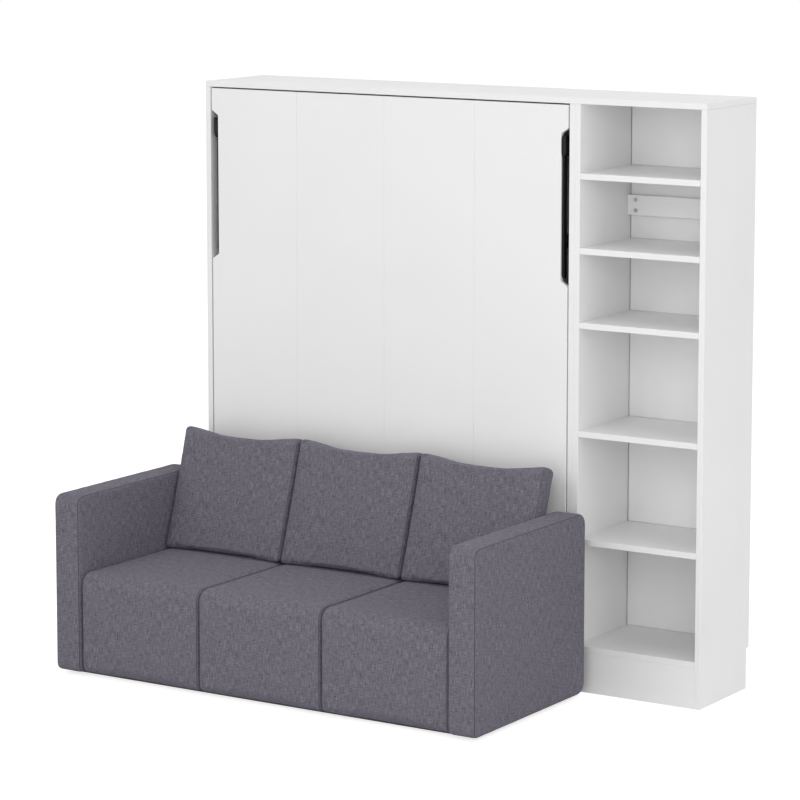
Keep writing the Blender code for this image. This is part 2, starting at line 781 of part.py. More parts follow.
def make_legs(black, bed):
    """A folding leg in each scoop, on a pin that its bracket carries."""
    web_front = front + leg_axis_depth + leg_width / 2 + fit_gap
    web_back = web_front + leg_web_thickness
    cheek_start = leg_outer + fit_gap
    cheek_end = cheek_start + leg_cheek_thickness
    flange_start = rail_outer + fit_gap
    flange_end = flange_start + leg_flange_thickness
    height = (leg_axis_z - leg_cheek_below, leg_axis_z + leg_cheek_above)
    half = leg_width / 2
    axis = (leg_axis_y, leg_axis_z)
    foot_low = leg_axis_z - leg_reach
    leg_front, leg_back = leg_axis_y - half, leg_axis_y + half
    bar_front = leg_front + leg_bar_setback
    leg_outline = rounded(
        [(bar_front, foot_low), (leg_back, foot_low), (leg_back, leg_axis_z + half),
         (leg_front, leg_axis_z + half), (leg_front, height[0] + leg_cheek_taper), (bar_front, height[0])],
        [leg_foot_front_radius, leg_foot_rear_radius, half, half, leg_bar_setback, leg_bar_setback],
        arc_steps * 2)
    for side, name in ((1, "right"), (-1, "left")):
        plan = [
            (across(side, x)[0], y) for x, y in (
                (flange_start, web_back + leg_flange_reach), (flange_start, web_front),
                (cheek_end, web_front),
                (cheek_end, web_back), (flange_end, web_back), (flange_end, web_back + leg_flange_reach))]
        bracket = add_object(f"leg_bracket_{name}", prism(plan, "Z", height), black, bed)
        taper = [
            (across(side, x)[0], z) for x, z in (
                (cheek_start, height[0]), (cheek_end, height[0] + leg_cheek_taper), (cheek_end, height[1]),
                (cheek_start, height[1]))]
        combine(bracket, prism(taper, "Y", (leg_axis_y - half, web_front + over_cut)), "UNION")
        pin_span = across(side, leg_inner + fit_gap, cheek_start + over_cut)
        combine(bracket, rod("X", pin_span, axis, leg_pin_radius), "UNION")
        hole_y = web_back + (leg_flange_reach + leg_flange_thickness) / 2
        hole_span = across(side, flange_start - over_cut, flange_end + over_cut)
        holes = [
            rod(
                "X", hole_span, (hole_y, height[0] + (height[1] - height[0]) * share),
                plate_hole_radius, pin_sides)
            for share in leg_hole_shares]
        combine(bracket, merged(holes), "DIFFERENCE")
        hinge = pivot(f"leg_hinge_{name}", (*across(side, leg_inner), *axis), bed)
        bar = prism(leg_outline, "X", across(side, leg_inner, leg_outer), edge_softening)
        leg = add_object(f"leg_{name}", bar, black, hinge)
        bore_span = across(side, leg_inner - over_cut, leg_outer + over_cut)
        combine(leg, rod("X", bore_span, axis, leg_pin_radius + bore_play), "DIFFERENCE")


# Sofa
def no_swell(point, share):
    return 0.0


def make_arms(fabric):
    corners = [
        (sofa_front, upholstery_lift), (sofa_rear, upholstery_lift),
        (sofa_rear, arm_top), (sofa_front, arm_top)]
    outline = rounded(corners, [arm_low_radius, arm_rear_radius, arm_rear_radius, arm_front_radius])
    outline = divided(outline, arm_length / 2)
    half = arm_width / 2
    for side, name in ((1, "right"), (-1, "left")):
        centre = sofa_x + side * (seat_span / 2 + half)
        add_object(
            f"arm_{name}", padded_form(outline, centre, half, arm_edge_radius, no_swell, 2), fabric)


def seat_rise(place_y):
    """The share of the crown that a seat has at a place from its back to its rounded front."""
    share = (low_back_front() - place_y) / (low_back_front() - seat_front - seat_front_radius)
    return max(0.0, math.sin(math.pi * min(1.0, max(0.0, share))))


def low_back_front():
    """Where the low back's face lies, so that a cushion leans on its rounded top edge."""
    height = low_back_top - low_back_radius - seat_height - seat_crown
    lean_line = cushion_foot + cushion_thickness / math.cos(cushion_lean) + height * math.tan(cushion_lean)
    return lean_line + (low_back_radius + fit_gap) / math.cos(cushion_lean) - low_back_radius


def make_seats(fabric):
    back = low_back_front() - upholstery_play
    corners = [
        (seat_front, upholstery_lift), (back, upholstery_lift),
        (back, seat_height), (seat_front, seat_height)]
    outline = rounded(
        corners, [seat_low_radius, seat_edge_radius, seat_edge_radius, seat_front_radius], arc_steps + 1)
    outline = divided(outline, seat_height / 4)
    middle_z = (upholstery_lift + seat_height) / 2

    def swell(point, share):
        across = 1 - share ** 4
        if point.y > seat_height - seat_edge_radius / 2:
            return seat_crown * across * seat_rise(point.x)
        if point.x < seat_front + seat_edge_radius / 2:
            drop = (point.y - middle_z) / (seat_height - middle_z)
            return seat_edge_draw * (across * (1 - drop ** 2) - 1)
        return 0.0

    for number, name in enumerate(("left", "middle", "right")):
        centre = sofa_x + seat_width * (number - (seat_count - 1) / 2)
        half = seat_width / 2 - upholstery_play / 2
        add_object(f"seat_{name}", padded_form(outline, centre, half, seat_edge_radius, swell, 6), fabric)


def make_low_back(fabric):
    face = low_back_front()
    corners = [
        (face, upholstery_lift), (sofa_rear, upholstery_lift),
        (sofa_rear, low_back_top), (face, low_back_top)]
    outline = rounded(corners, [seat_edge_radius, seat_edge_radius, low_back_radius, low_back_radius])
    half = seat_span / 2 - upholstery_play
    add_object("sofa_low_back", padded_form(outline, sofa_x, half, arm_edge_radius, no_swell, 2), fabric)


def cushion_base():
    """Height of a cushion's foot: the seat's crown right under its front edge."""
    return seat_height + seat_crown * seat_rise(cushion_foot) + fit_gap


def cushion_axis():
    """Y and Z of the line that a cushion tips about, from its lean to flat on the seat."""
    turn = math.pi / 2 + cushion_lean
    lift = seat_height + seat_crown + stow_clearance + cushion_crown - cushion_base()
    offset = complex(0, lift) / (1 - complex(math.cos(turn), math.sin(turn)))
    return cushion_foot + offset.real, cushion_base() + offset.imag


def make_cushions(fabric):
    base = cushion_base()
    up = Vector((math.sin(cushion_lean), math.cos(cushion_lean)))
    through = Vector((math.cos(cushion_lean), -math.sin(cushion_lean)))
    thickness = cushion_thickness - cushion_crown
    foot = Vector((cushion_foot, base))
    top_front = foot + up * cushion_height
    top_back = top_front + through * thickness
    foot_back = foot + Vector((thickness / math.cos(cushion_lean), 0))
    outline = rounded(
        [foot, foot_back, top_back, top_front],
        [cushion_low_radius, cushion_low_radius, cushion_top_radius, cushion_top_radius])
    outline = divided(outline, cushion_height / 6)
    middle = (foot + top_back) / 2

    def swell(point, share):
        rise = (point - foot).dot(up) / cushion_height
        depth = (point - foot).dot(through) / thickness
        across = 1 - share ** 4
        if rise > 1 - cushion_top_radius / cushion_height * cushion_dip_start_share:
            return -cushion_top_dip * (1 - share ** 2)
        if depth < cushion_face_share and rise > 0:
            return cushion_crown * across * max(0.0, math.sin(math.pi * rise))
        return 0.0

    for number, name in enumerate(("left", "middle", "right")):
        centre = sofa_x + seat_width * (number - (seat_count - 1) / 2)
        half = seat_width / 2 - upholstery_play
        hinge = pivot(f"cushion_hinge_{name}", (centre, *cushion_axis()))
        shape = padded_form(outline, centre, half, cushion_edge_radius, swell, 6)
        for vert in shape.verts:
            rise = (vert.co.z - base) / (top_front.y - base)
            bow = max(0.0, math.sin(math.pi * min(1.0, max(0.0, rise))))
            share = (vert.co.x - centre) / half
            vert.co.x -= cushion_side_draw * bow * share ** 3
        add_object(f"back_cushion_{name}", shape, fabric, hinge)


def make_sofa_fittings(plastic, zinc):
    """Skids that the sofa's pieces stand on and are screwed to, and brackets to the cabinet."""
    half = sofa_half_width - skid_end_inset
    span = (sofa_x - half, sofa_x + half)
    height = (0, upholstery_lift - fit_gap)
    rows = {
        "front": seat_front + skid_inset,
        "rear": low_back_front() - skid_width / 2}
    for name, row in rows.items():
        skid = slab(span, (row, row + skid_width), height, edge_softening * 2)
        add_object(f"sofa_skid_{name}", skid, plastic)

    thick = bracket_thickness
    near, far = sofa_rear + fit_gap, front - fit_gap
    bracket_top = bracket_lift + bracket_height
    profile = [
        (near, bracket_lift), (far, bracket_lift), (far, bracket_top), (far - thick, bracket_top),
        (far - thick, bracket_lift + thick), (near + thick, bracket_lift + thick),
        (near + thick, bracket_top), (near, bracket_top)]
    for side, name in ((1, "right"), (-1, "left")):
        centre = sofa_x + side * (seat_span / 2 - bracket_inset)
        shape = prism(profile, "X", (centre - bracket_width / 2, centre + bracket_width / 2))
        add_object(f"sofa_link_bracket_{name}", shape, zinc)


def main():
    clear_scene()
    white = finish("white_board", (0.84, 0.84, 0.85), 0.45)
    back_white = finish("back_board", (0.78, 0.78, 0.79), 0.55)
    frame_wood = finish("frame_board", (0.80, 0.80, 0.81), 0.5)
    slat_wood = finish("slat_wood", (0.72, 0.55, 0.36), 0.6)
    black = finish("black_metal", (0.03, 0.028, 0.025), 0.45, 0.6)
    steel = finish("grey_steel", (0.45, 0.45, 0.46), 0.4, 0.8)
    zinc = finish("zinc_plate", (0.6, 0.6, 0.62), 0.35, 0.9)
    chrome = finish("chromed_rod", (0.8, 0.8, 0.82), 0.15, 1.0)
    plastic = finish("plastic_skid", (0.05, 0.05, 0.05), 0.6)
    fabric = finish("sofa_fabric", (0.15, 0.14, 0.165), 0.95)
    ticking = finish("mattress_fabric", (0.82, 0.82, 0.80), 0.9)
    webbing = finish("strap_webbing", (0.12, 0.12, 0.13), 0.85)

    make_side_panels(white)
    make_shelves(white, back_white)
    make_wall_rail(white, steel)
    make_bed_cabinet(white, back_white)

    bed = pivot("bed_hinge", (bed_x, pivot_y, pivot_z))
    make_door(white, bed)
    make_bed_frame(frame_wood, slat_wood, steel, bed)
    make_mattress(ticking, webbing, bed)
    make_pivots(steel, zinc, bed)
    make_legs(black, bed)
    make_gas_springs(black, chrome)

    make_arms(fabric)
    make_seats(fabric)
    make_low_back(fabric)
    make_cushions(fabric)
    make_sofa_fittings(plastic, zinc)


main()
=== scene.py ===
from math import cos, hypot, pi, radians, sin
import bpy
import bmesh
from mathutils import Matrix, Vector, noise
from mathutils.bvhtree import BVHTree
from mathutils.kdtree import KDTree


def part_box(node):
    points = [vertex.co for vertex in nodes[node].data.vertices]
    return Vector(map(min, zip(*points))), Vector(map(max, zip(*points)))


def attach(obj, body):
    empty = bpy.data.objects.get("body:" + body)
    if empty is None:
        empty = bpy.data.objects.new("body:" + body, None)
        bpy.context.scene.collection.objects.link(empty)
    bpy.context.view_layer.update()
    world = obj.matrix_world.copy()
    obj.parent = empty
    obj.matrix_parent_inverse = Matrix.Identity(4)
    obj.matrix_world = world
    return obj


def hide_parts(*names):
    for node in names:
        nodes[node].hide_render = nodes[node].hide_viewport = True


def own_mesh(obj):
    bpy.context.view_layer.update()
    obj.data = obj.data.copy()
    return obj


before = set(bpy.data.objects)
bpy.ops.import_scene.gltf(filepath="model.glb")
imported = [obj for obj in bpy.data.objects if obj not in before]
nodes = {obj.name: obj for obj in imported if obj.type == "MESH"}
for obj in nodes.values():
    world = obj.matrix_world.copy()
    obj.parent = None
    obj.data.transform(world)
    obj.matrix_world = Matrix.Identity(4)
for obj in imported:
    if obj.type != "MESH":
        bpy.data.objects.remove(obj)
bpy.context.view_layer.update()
print("frame loaded,", len(nodes), "solids")

tiny = 1e-6
even = (1, 1, 1)                # the scale of a pattern that isn't stretched
noiseReach = (0.3, 0.7)         # nearly all of a noise lies between these values


# Shader nodes

def put(tree, kind, inputs=None, **settings):
    # one shader node; an input is either a plain value or another node's output
    node = tree.nodes.new("ShaderNode" + kind)
    for key, value in settings.items():
        setattr(node, key, value)
    for key, value in (inputs or {}).items():
        if isinstance(value, bpy.types.NodeSocket):
            tree.links.new(value, node.inputs[key])
        else:
            node.inputs[key].default_value = value
    return node


def calc(tree, operation, *values):
    return put(tree, "Math", dict(enumerate(values)), operation=operation).outputs[0]


def mixed(tree, factor, first, second, blend="MIX"):
    # inputs 6 and 7 of the node are its two colours
    colours = {0: factor, 6: first, 7: second}
    return put(tree, "Mix", colours, data_type="RGBA", blend_type=blend).outputs[2]


def screenColour(levels):
    # a colour as it is read off a screen, 0 to 255, turned linear
    shares = [level / 255 for level in levels]
    return tuple(s / 12.92 if s <= 0.04045 else ((s + 0.055) / 1.055) ** 2.4 for s in shares) + (1,)


def newFinish(name, roughness, metallic=0.0):
    material = bpy.data.materials.new(name)
    material.use_nodes = True
    tree = material.node_tree
    shader = tree.nodes["Principled BSDF"]
    shader.inputs["Roughness"].default_value = roughness
    shader.inputs["Metallic"].default_value = metallic
    return material, tree, shader


def stretchedNoise(tree, place, scale, size=1.0, detail=2.0, roughness=0.5):
    moved = put(tree, "Mapping", {"Vector": place, "Scale": scale}).outputs[0]
    return put(tree, "TexNoise", {
        "Vector": moved, "Scale": size, "Detail": detail, "Roughness": roughness}).outputs["Fac"]


def ranged(tree, value, low, high, outLow, outHigh):
    return put(tree, "MapRange", {
        "Value": value, "From Min": low, "From Max": high, "To Min": outLow, "To Max": outHigh}).outputs[0]


def relief(tree, shader, height, strength, depth):
    # unevenness too fine to be modelled, which only turns the light
    bump = put(tree, "Bump", {"Strength": strength, "Distance": depth, "Height": height})
    tree.links.new(bump.outputs[0], shader.inputs["Normal"])


# Boards and wood

boardFoil = {
    "cloudScale": 2.3, "cloudShare": 0.7, "grainScale": 900, "grainShare": 0.3,
    "glossSwing": 0.05, "pearlScale": 700, "pearlStrength": 0.10, "pearlDepth": 0.0002,
}


def boardFinish(name, tone, darker, roughness, shine):
    # melamine board: a very fine pearl in the foil, and faint clouding
    material, tree, shader = newFinish(name, roughness)
    place = put(tree, "TexCoord").outputs["Object"]
    cloud = stretchedNoise(tree, place, even, boardFoil["cloudScale"], detail=3.0)
    grain = stretchedNoise(tree, place, even, boardFoil["grainScale"])
    shade = calc(tree, "ADD", ranged(tree, cloud, *noiseReach, 0, boardFoil["cloudShare"]),
                 ranged(tree, grain, *noiseReach, 0, boardFoil["grainShare"]))
    colour = mixed(tree, shade, screenColour(tone), screenColour(darker))
    tree.links.new(colour, shader.inputs["Base Color"])
    swing = boardFoil["glossSwing"]
    dulled = ranged(tree, cloud, *noiseReach, roughness - swing, roughness + swing)
    tree.links.new(dulled, shader.inputs["Roughness"])
    shader.inputs["Specular IOR Level"].default_value = shine
    pearl = put(tree, "TexVoronoi", {"Vector": place, "Scale": boardFoil["pearlScale"]}).outputs["Distance"]
    relief(tree, shader, pearl, boardFoil["pearlStrength"], boardFoil["pearlDepth"])
    return material


def paintedJointShade(material, joints):
    # painted shade along the joints where other boards meet the front of this one, each at a place across it
    # or up it
    tree = material.node_tree
    shader = tree.nodes["Principled BSDF"]
    split = put(tree, "SeparateXYZ", {"Vector": put(tree, "TexCoord").outputs["Object"]})
    core = joints["width"] * joints["coreShare"]
    shadeMarks = []
    for places, along in ((joints["upright"], split.outputs[0]), (joints["level"], split.outputs[2])):
        gaps = [calc(tree, "ABSOLUTE", calc(tree, "SUBTRACT", along, place)) for place in places]
        nearest = gaps[0]
        for gap in gaps[1:]:
            nearest = calc(tree, "MINIMUM", nearest, gap)
        shadeMarks.append(ranged(tree, nearest, core, joints["width"], 1.0, 0.0))
    shade = calc(tree, "MAXIMUM", shadeMarks[0], calc(tree, "MULTIPLY", shadeMarks[1], joints["levelShare"]))
    inFront = calc(tree, "LESS_THAN", split.outputs[1], joints["middle"])
    shade = calc(tree, "MULTIPLY", shade, inFront)
    plain = shader.inputs["Base Color"].links[0].from_socket
    colour = mixed(tree, shade, plain, screenColour(joints["tone"]))
    tree.links.new(colour, shader.inputs["Base Color"])
    return material


birchGrain = {
    "stretch": (0.04, 1, 1),                    # the grain runs along x, the length of a slat
    "ringScale": 55, "ringReach": (0.35, 0.65), "ringShare": 0.65,
    "poreScale": 900, "poreReach": (0.45, 0.7), "poreShare": 0.35,
    "broadScale": 9, "broadShare": 0.25,
    "glossSwing": 0.08, "poreStrength": 0.25, "poreDepth": 0.0004,
}


def woodFinish(name, pale, dark, roughness):
    # straight grained wood with fine pores and broad darker stretches
    material, tree, shader = newFinish(name, roughness)
    place = put(tree, "TexCoord").outputs["Object"]
    stretch = birchGrain["stretch"]
    rings = stretchedNoise(tree, place, stretch, birchGrain["ringScale"], detail=4.0, roughness=0.6)
    pores = stretchedNoise(tree, place, stretch, birchGrain["poreScale"])
    broad = stretchedNoise(tree, place, stretch, birchGrain["broadScale"])
    shade = calc(tree, "ADD", ranged(tree, rings, *birchGrain["ringReach"], 0, birchGrain["ringShare"]),
                 ranged(tree, pores, *birchGrain["poreReach"], 0, birchGrain["poreShare"]))
    colour = mixed(tree, shade, screenColour(pale), screenColour(dark))
    darker = ranged(tree, broad, *noiseReach, 0, birchGrain["broadShare"])
    colour = mixed(tree, darker, colour, screenColour(dark))
    tree.links.new(colour, shader.inputs["Base Color"])
    swing = birchGrain["glossSwing"]
    dulled = ranged(tree, pores, *noiseReach, roughness - swing, roughness + swing)
    tree.links.new(dulled, shader.inputs["Roughness"])
    relief(tree, shader, pores, birchGrain["poreStrength"], birchGrain["poreDepth"])
    return material


# Metals and plastic

powderCoat = {
    "peelScale": 1400, "peelStrength": 0.35, "peelDepth": 0.0002,
    "rubScale": 38, "rubReach": (0.45, 0.75), "duller": 0.06, "shinier": 0.08,
}


def paintedMetal(name, tone, lighter, roughness, shine):
    # powder coat: a fine orange peel, and a little rubbed shine
    material, tree, shader = newFinish(name, roughness)
    shader.inputs["Specular IOR Level"].default_value = shine
    place = put(tree, "TexCoord").outputs["Object"]
    peel = stretchedNoise(tree, place, even, powderCoat["peelScale"], detail=1.0)
    rub = stretchedNoise(tree, place, even, powderCoat["rubScale"], detail=4.0, roughness=0.65)
    rubbed = ranged(tree, rub, *powderCoat["rubReach"], 0, 1)
    colour = mixed(tree, rubbed, screenColour(tone), screenColour(lighter))
    tree.links.new(colour, shader.inputs["Base Color"])
    dull, shiny = roughness + powderCoat["duller"], roughness - powderCoat["shinier"]
    tree.links.new(ranged(tree, rub, *noiseReach, dull, shiny), shader.inputs["Roughness"])
    relief(tree, shader, peel, powderCoat["peelStrength"], powderCoat["peelDepth"])
    return material


rolledMetal = {
    "lineScale": 600, "lineShare": 0.5, "lineStrength": 0.2, "lineDepth": 0.0001,
    "patchScale": 60, "patchReach": (0.35, 0.7), "patchShare": 0.5, "shinier": 0.07, "duller": 0.1,
}


def brushedMetal(name, tone, darker, roughness, stretch):
    # rolled or ground metal with fine lines one way and a few darker patches
    material, tree, shader = newFinish(name, roughness, 1.0)
    place = put(tree, "TexCoord").outputs["Object"]
    lines = stretchedNoise(tree, place, stretch, rolledMetal["lineScale"], detail=3.0, roughness=0.6)
    patch = stretchedNoise(tree, place, even, rolledMetal["patchScale"], detail=3.0)
    shade = calc(tree, "ADD", ranged(tree, lines, *noiseReach, 0, rolledMetal["lineShare"]),
                 ranged(tree, patch, *rolledMetal["patchReach"], 0, rolledMetal["patchShare"]))
    colour = mixed(tree, shade, screenColour(tone), screenColour(darker))
    tree.links.new(colour, shader.inputs["Base Color"])
    shiny, dull = roughness - rolledMetal["shinier"], roughness + rolledMetal["duller"]
    tree.links.new(ranged(tree, lines, *noiseReach, shiny, dull), shader.inputs["Roughness"])
    relief(tree, shader, lines, rolledMetal["lineStrength"], rolledMetal["lineDepth"])
    return material


skidGrain = {
    "grainScale": 1100, "grainStrength": 0.3, "grainDepth": 0.0002, "wearScale": 30, "wearReach": (0.35, 0.7),
}


def mouldedPlastic(name, tone, worn, roughness):
    # a moulded grain, paler where it is worn
    material, tree, shader = newFinish(name, roughness)
    place = put(tree, "TexCoord").outputs["Object"]
    grain = put(tree, "TexVoronoi", {"Vector": place, "Scale": skidGrain["grainScale"]}).outputs["Distance"]
    wear = stretchedNoise(tree, place, even, skidGrain["wearScale"], detail=4.0, roughness=0.6)
    colour = mixed(
        tree, ranged(tree, wear, *skidGrain["wearReach"], 0, 1), screenColour(tone), screenColour(worn))
    tree.links.new(colour, shader.inputs["Base Color"])
    relief(tree, shader, grain, skidGrain["grainStrength"], skidGrain["grainDepth"])
    return material


# Cloth

def threadCells(tree, place, pitch):
    # plain weave: the numbers of the threads that cross, which of them lies on top, and how high it stands
    split = put(tree, "SeparateXYZ", {"Vector": place})
    across = calc(tree, "DIVIDE", split.outputs[0], pitch)
    along = calc(tree, "DIVIDE", split.outputs[1], pitch)
    warpNumber, weftNumber = calc(tree, "FLOOR", across), calc(tree, "FLOOR", along)
    onTop = calc(tree, "PINGPONG", calc(tree, "ADD", warpNumber, weftNumber), 1.0)
    arches = [calc(tree, "SINE", calc(tree, "MULTIPLY", calc(tree, "FRACT", value), pi))
              for value in (across, along)]
    warpHeight = calc(tree, "MULTIPLY", arches[0], calc(tree, "MULTIPLY_ADD", arches[1], 0.5, 0.5))
    weftHeight = calc(tree, "MULTIPLY", arches[1], calc(tree, "MULTIPLY_ADD", arches[0], 0.5, 0.5))
    height = put(tree, "Mix", {0: onTop, 2: weftHeight, 3: warpHeight}).outputs[0]
    return split, warpNumber, weftNumber, onTop, height


def seamShaded(tree, colour, seamTone):
    # the sewn seams are marked on the mesh; on the sofa their dark tone is the thread and painted shade of
    # the gaps between pieces together
    seam = put(tree, "Attribute", attribute_name="seam").outputs["Fac"]
    return mixed(tree, seam, colour, screenColour(seamTone))


sofaCloth = {
    # the seam tone is the dark thread and also painted shade in the gaps between the sofa's pieces
    "dark": (74, 71, 80), "pale": (150, 146, 159), "seam": (44, 41, 50),
    "thread": 0.0021,                           # metres from one thread to the next
    "threadShare": 0.8, "slubLength": 0.020,
    "threadSteps": (5.37, 7.91),                # far enough on in a noise that neighbours differ in tone
    "driftScale": 160, "driftShare": 0.5,       # how the threads wander, as a share of their distance
    "uprightStreak": (340, 30, 1), "uprightShare": 1.1,
    "levelStreak": (38, 330, 1), "levelShare": 0.9, "streakShare": 1.15,
    "blotch": (120, 120, 1), "blotchShare": 0.2,
    # painted shade between the threads, set by the two gap keys below
    "gapHeight": 0.6, "gapShade": 0.55,         # the cloth is darker between its threads
    "roughness": 0.92, "roughnessReach": (0.98, 0.84), "shine": 0.12, "sheen": 0.34, "sheenRoughness": 0.45,
    "reliefStrength": 0.6, "reliefDepth": 0.0007, "streakRelief": 0.7,
}


def heatheredWeave(name, cloth):
    # two tone yarns: each thread has its own tone that changes along it, with slubs
    material, tree, shader = newFinish(name, cloth["roughness"])
    flat = put(tree, "UVMap", uv_map="weave").outputs["UV"]
    swirl = {"Vector": flat, "Scale": cloth["driftScale"], "Detail": 2}
    drift = put(tree, "TexNoise", swirl).outputs["Color"]
    drift = put(tree, "VectorMath", {0: drift, 1: (0.5, 0.5, 0.5)}, operation="SUBTRACT").outputs[0]
    wander = cloth["thread"] * cloth["driftShare"]
    drift = put(tree, "VectorMath", {0: drift, "Scale": wander}, operation="SCALE").outputs[0]
    place = put(tree, "VectorMath", {0: flat, 1: drift}, operation="ADD").outputs[0]
    split, warpNumber, weftNumber, onTop, height = threadCells(tree, place, cloth["thread"])
    run = 1 / cloth["slubLength"]
    warpStep, weftStep = cloth["threadSteps"]
    warpPlace = put(tree, "CombineXYZ", {
        0: calc(tree, "MULTIPLY", warpNumber, warpStep), 1: calc(tree, "MULTIPLY", split.outputs[1], run)})
    weftPlace = put(tree, "CombineXYZ", {
        0: calc(tree, "MULTIPLY", split.outputs[0], run), 1: calc(tree, "MULTIPLY", weftNumber, weftStep)})
    tones = [put(tree, "TexNoise", {"Vector": spot.outputs[0], "Scale": 1.0, "Detail": 3, "Roughness": 0.6})
             .outputs["Fac"] for spot in (warpPlace, weftPlace)]
    tone = put(tree, "Mix", {0: onTop, 2: tones[1], 3: tones[0]}).outputs[0]
    upright = stretchedNoise(tree, flat, cloth["uprightStreak"])
    level = stretchedNoise(tree, flat, cloth["levelStreak"])
    streak = calc(tree, "ADD", calc(tree, "MULTIPLY", upright, cloth["uprightShare"]),
                  calc(tree, "MULTIPLY", level, cloth["levelShare"]))
    blotch = stretchedNoise(tree, flat, cloth["blotch"])
    shade = 0.5
    for pattern, middle, share in (
            (tone, 0.5, "threadShare"), (streak, 1.0, "streakShare"), (blotch, 0.5, "blotchShare")):
        shade = calc(tree, "MULTIPLY_ADD", calc(tree, "SUBTRACT", pattern, middle), cloth[share], shade)
    colour = mixed(tree, shade, screenColour(cloth["dark"]), screenColour(cloth["pale"]))
    # painted shade between the threads, darkest where a thread lies lowest
    gaps = ranged(tree, height, 0.0, cloth["gapHeight"], cloth["gapShade"], 1.0)
    colour = mixed(tree, 1.0, colour, gaps, "MULTIPLY")
    tree.links.new(seamShaded(tree, colour, cloth["seam"]), shader.inputs["Base Color"])
    tree.links.new(ranged(tree, tone, *noiseReach, *cloth["roughnessReach"]), shader.inputs["Roughness"])
    shader.inputs["Specular IOR Level"].default_value = cloth["shine"]
    shader.inputs["Sheen Weight"].default_value = cloth["sheen"]
    shader.inputs["Sheen Roughness"].default_value = cloth["sheenRoughness"]
    shader.inputs["Sheen Tint"].default_value = screenColour(cloth["pale"])
    raised = calc(tree, "ADD", height, calc(tree, "MULTIPLY", streak, cloth["streakRelief"]))
    relief(tree, shader, raised, cloth["reliefStrength"], cloth["reliefDepth"])
    return material


mattressCover = {
    "pale": (236, 235, 231), "dark": (214, 213, 209), "seam": (176, 176, 176),
    # the gap keys set painted shade between the threads
    "thread": 0.0016, "fleck": (90, 240, 1), "gapHeight": 0.5, "gapShade": 0.88,
    "roughness": 0.88, "sheen": 0.15, "reliefStrength": 0.5, "reliefDepth": 0.0005,
}


def tickingFinish(name, cover):
    # mattress cover: a fine plain weave with level flecks, and stitched seams a little darker
    material, tree, shader = newFinish(name, cover["roughness"])
    flat = put(tree, "UVMap", uv_map="weave").outputs["UV"]
    height = threadCells(tree, flat, cover["thread"])[-1]
    fleck = ranged(tree, stretchedNoise(tree, flat, cover["fleck"], detail=3.0), *noiseReach, 0, 1)
    colour = mixed(tree, fleck, screenColour(cover["pale"]), screenColour(cover["dark"]))
    # painted shade between the threads, darkest where a thread lies lowest
    gaps = ranged(tree, height, 0.0, cover["gapHeight"], cover["gapShade"], 1.0)
    colour = mixed(tree, 1.0, colour, gaps, "MULTIPLY")
    tree.links.new(seamShaded(tree, colour, cover["seam"]), shader.inputs["Base Color"])
    shader.inputs["Sheen Weight"].default_value = cover["sheen"]
    relief(tree, shader, height, cover["reliefStrength"], cover["reliefDepth"])
    return material


strapWeave = {
    "tone": (40, 40, 44), "pale": (76, 76, 82), "roughness": 0.7, "sheen": 0.1,
    "foldWidth": 0.006, "ribPitch": 0.0024, "ribShare": 0.6, "fleck": (900, 200, 1), "fleckShare": 0.4,
    "reliefStrength": 0.7, "reliefDepth": 0.0006,
}


def webbingFinish(name, strap):
    # herringbone: the ribs slant one way and then the other across the strap
    material, tree, shader = newFinish(name, strap["roughness"])
    flat = put(tree, "UVMap", uv_map="weave").outputs["UV"]
    split = put(tree, "SeparateXYZ", {"Vector": flat})
    fold = calc(tree, "PINGPONG", split.outputs[1], strap["foldWidth"])
    slant = calc(tree, "ADD", split.outputs[0], fold)
    ribs = calc(tree, "SINE", calc(tree, "MULTIPLY", slant, 2 * pi / strap["ribPitch"]))
    fleck = stretchedNoise(tree, flat, strap["fleck"])
    shade = calc(tree, "ADD", ranged(tree, ribs, -1, 1, 0, strap["ribShare"]),
                 ranged(tree, fleck, *noiseReach, 0, strap["fleckShare"]))
    colour = mixed(tree, shade, screenColour(strap["tone"]), screenColour(strap["pale"]))
    tree.links.new(colour, shader.inputs["Base Color"])
    shader.inputs["Sheen Weight"].default_value = strap["sheen"]
    relief(tree, shader, ribs, strap["reliefStrength"], strap["reliefDepth"])
    return material


# Finishes: name, colours, roughness, and shine or stretch

thinBoard = ((242, 242, 242), (237, 237, 237), 0.6, 0.25)
finishes = {
    "white_board": boardFinish("whiteBoard", (243, 243, 243), (239, 239, 239), 0.42, 0.35),
    "back_board": boardFinish("backBoard", *thinBoard),
    "frame_board": boardFinish("frameBoard", (236, 236, 234), (229, 229, 227), 0.5, 0.3),
    "slat_wood": woodFinish("slatBirch", (226, 196, 154), (186, 146, 100), 0.55),
    "black_metal": paintedMetal("blackSteel", (22, 21, 19), (32, 30, 28), 0.55, 0.2),
    "grey_steel": paintedMetal("greySteel", (120, 122, 124), (142, 144, 146), 0.4, 0.5),
    "zinc_plate": brushedMetal("zincPlate", (205, 207, 208), (160, 164, 168), 0.35, (1, 0.1, 1)),
    "chromed_rod": brushedMetal("chromedRod", (226, 228, 230), (190, 194, 198), 0.14, (1, 1, 0.05)),
    "plastic_skid": mouldedPlastic("skidPlastic", (44, 44, 46), (58, 58, 60), 0.5),
    "sofa_fabric": heatheredWeave("sofaWeave", sofaCloth),
    "mattress_fabric": tickingFinish("mattressTicking", mattressCover),
    "strap_webbing": webbingFinish("strapHerringbone", strapWeave),
}
for node in nodes.values():
    for holder in node.material_slots:
        name = holder.material.name.split(".")[0] if holder.material else ""
        if name in finishes:
            holder.material = finishes[name]
        else:
            print("no finish for", node.name, name)

